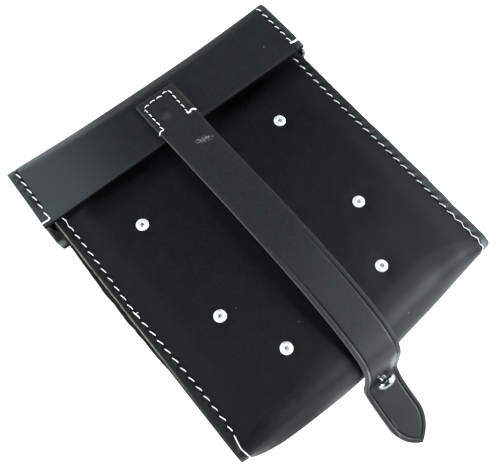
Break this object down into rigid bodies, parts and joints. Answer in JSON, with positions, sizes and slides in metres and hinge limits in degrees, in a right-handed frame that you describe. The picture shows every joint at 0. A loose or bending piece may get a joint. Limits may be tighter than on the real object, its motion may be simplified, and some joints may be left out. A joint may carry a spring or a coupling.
{
  "type": "leather tool pouch",
  "caption": "Boxy black leather tool pouch lying on its back, with a flap lid and a strap that hooks on a stud under the bottom.",
  "frame": {"origin": "middle of the footprint of the pouch lying on its back, on the surface that it lies on", "axes": "+X to the pouch's right seen from its front, +Y from the bottom towards the lid, +Z from the back to the front"},
  "size_m": [0.2138, 0.2948, 0.085],
  "materials": {
    "body_leather": "satin waxed",
    "gusset_leather": "matte",
    "lid_leather": "satin waxed",
    "strap_leather": "satin waxed",
    "plated_metal": "bright plated"
  },
  "bodies": {
    "root": {"body_wrap": "body_leather", "side_gusset_left": "gusset_leather", "side_gusset_right": "gusset_leather", "lid": "lid_leather", "lid_ear_left": "gusset_leather", "lid_ear_right": "gusset_leather", "strap": "strap_leather", "closing_stud": "plated_metal", "front_rivet_1": "plated_metal", "front_rivet_2": "plated_metal", "front_rivet_3": "plated_metal", "front_rivet_4": "plated_metal", "front_rivet_5": "plated_metal", "front_rivet_6": "plated_metal"}
  },
  "joints": []
}
